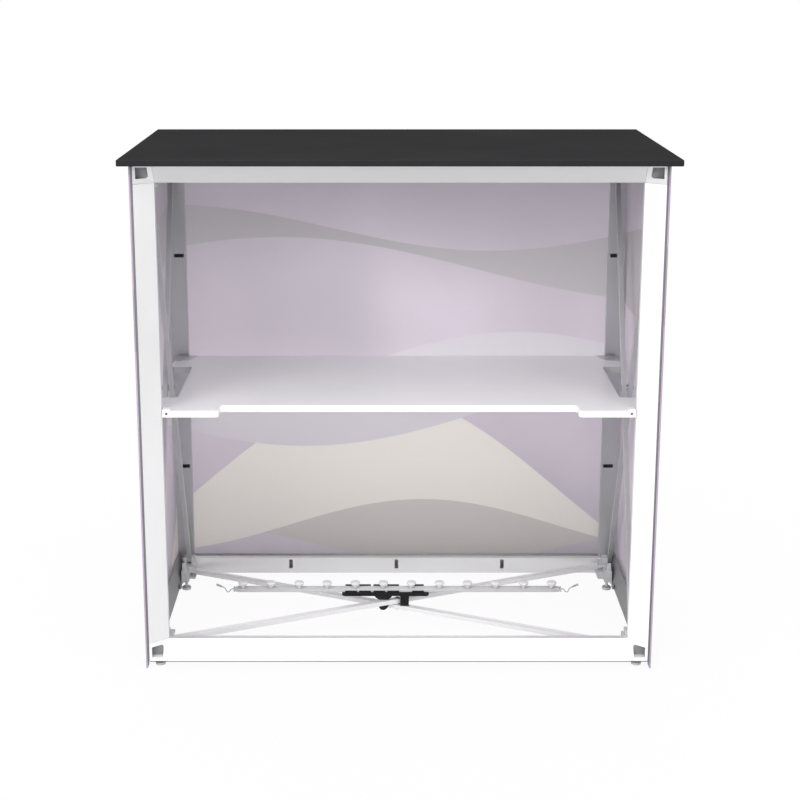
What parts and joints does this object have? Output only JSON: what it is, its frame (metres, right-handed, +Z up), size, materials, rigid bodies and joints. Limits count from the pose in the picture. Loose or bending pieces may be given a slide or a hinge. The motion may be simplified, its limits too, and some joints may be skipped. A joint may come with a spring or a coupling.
{
  "type": "exhibition counter",
  "caption": "Pop-up exhibition counter: a channel-bar frame round a crossed-bar cage, with a flat top, a hooked shelf, a row of lights in the base and a printed fabric wrap.",
  "frame": {"origin": "on the floor, under the middle of the countertop", "axes": "+X to the right seen from the open staff side, +Y away from the staff side to the graphic, +Z up"},
  "size_m": [1.02, 0.52, 1],
  "materials": {
    "black_laminate": "satin",
    "white_bars": "satin",
    "white_mouldings": "satin",
    "silver_bars": "satin",
    "grey_mouldings": "satin",
    "steel_rivets": "satin",
    "foot_plastic": "satin",
    "silver_laminate": "satin",
    "bracket_steel": "satin",
    "light_plastic": "satin",
    "lead_plastic": "satin",
    "black_plastic": "satin",
    "mauve_fabric": "matte"
  },
  "bodies": {
    "frame": {"countertop": "black_laminate", "near_left_post": "white_bars", "near_right_post": "white_bars", "far_left_post": "white_bars", "far_right_post": "white_bars", "near_bottom_rail": "white_bars", "near_top_rail": "white_bars", "far_bottom_rail": "white_bars", "far_top_rail": "white_bars", "left_bottom_side_rail": "white_bars", "left_top_side_rail": "white_bars", "right_bottom_side_rail": "white_bars", "right_top_side_rail": "white_bars", "near_left_bottom_corner": "white_mouldings", "near_right_bottom_corner": "white_mouldings", "near_left_top_corner": "white_mouldings", "near_right_top_corner": "white_mouldings", "far_left_bottom_corner": "white_mouldings", "far_right_bottom_corner": "white_mouldings", "far_left_top_corner": "white_mouldings", "far_right_top_corner": "white_mouldings", "near_left_bottom_hub": "grey_mouldings", "near_right_bottom_hub": "grey_mouldings", "near_left_top_hub": "grey_mouldings", "near_right_top_hub": "grey_mouldings", "far_left_bottom_hub": "grey_mouldings", "far_right_bottom_hub": "grey_mouldings", "far_left_top_hub": "grey_mouldings", "far_right_top_hub": "grey_mouldings", "left_inner_scissor_bar": "silver_bars", "left_outer_scissor_bar": "silver_bars", "right_inner_scissor_bar": "silver_bars", "right_outer_scissor_bar": "silver_bars", "bottom_inner_scissor_bar": "silver_bars", "bottom_outer_scissor_bar": "silver_bars", "top_inner_scissor_bar": "silver_bars", "top_outer_scissor_bar": "silver_bars", "left_rivet": "steel_rivets", "right_rivet": "steel_rivets", "bottom_rivet": "steel_rivets", "top_rivet": "steel_rivets", "shelf": "silver_laminate", "near_left_shelf_bracket": "bracket_steel", "near_right_shelf_bracket": "bracket_steel", "far_left_shelf_bracket": "bracket_steel", "far_right_shelf_bracket": "bracket_steel", "light_bar": "light_plastic", "light_clip": "black_plastic", "left_lead": "lead_plastic", "right_lead": "lead_plastic", "fabric_graphic": "mauve_fabric"},
    "near_left_corner_foot": {"near_left_corner_foot": "foot_plastic"},
    "near_right_corner_foot": {"near_right_corner_foot": "foot_plastic"},
    "far_left_corner_foot": {"far_left_corner_foot": "foot_plastic"},
    "far_right_corner_foot": {"far_right_corner_foot": "foot_plastic"},
    "near_left_hub_foot": {"near_left_hub_foot": "foot_plastic"},
    "near_right_hub_foot": {"near_right_hub_foot": "foot_plastic"},
    "far_left_hub_foot": {"far_left_hub_foot": "foot_plastic"},
    "far_right_hub_foot": {"far_right_hub_foot": "foot_plastic"}
  },
  "joints": [
    {"name": "near_left_corner_foot_thread", "type": "slide", "parent": "frame", "child": "near_left_corner_foot", "axis": [0, 0, -1], "range_m": [-0.009, 0.006]},
    {"name": "near_right_corner_foot_thread", "type": "slide", "parent": "frame", "child": "near_right_corner_foot", "axis": [0, 0, -1], "range_m": [-0.009, 0.006]},
    {"name": "far_left_corner_foot_thread", "type": "slide", "parent": "frame", "child": "far_left_corner_foot", "axis": [0, 0, -1], "range_m": [-0.009, 0.006]},
    {"name": "far_right_corner_foot_thread", "type": "slide", "parent": "frame", "child": "far_right_corner_foot", "axis": [0, 0, -1], "range_m": [-0.009, 0.006]},
    {"name": "near_left_hub_foot_thread", "type": "slide", "parent": "frame", "child": "near_left_hub_foot", "axis": [0, 0, -1], "range_m": [-0.009, 0.006]},
    {"name": "near_right_hub_foot_thread", "type": "slide", "parent": "frame", "child": "near_right_hub_foot", "axis": [0, 0, -1], "range_m": [-0.009, 0.006]},
    {"name": "far_left_hub_foot_thread", "type": "slide", "parent": "frame", "child": "far_left_hub_foot", "axis": [0, 0, -1], "range_m": [-0.009, 0.006]},
    {"name": "far_right_hub_foot_thread", "type": "slide", "parent": "frame", "child": "far_right_hub_foot", "axis": [0, 0, -1], "range_m": [-0.009, 0.006]}
  ]
}
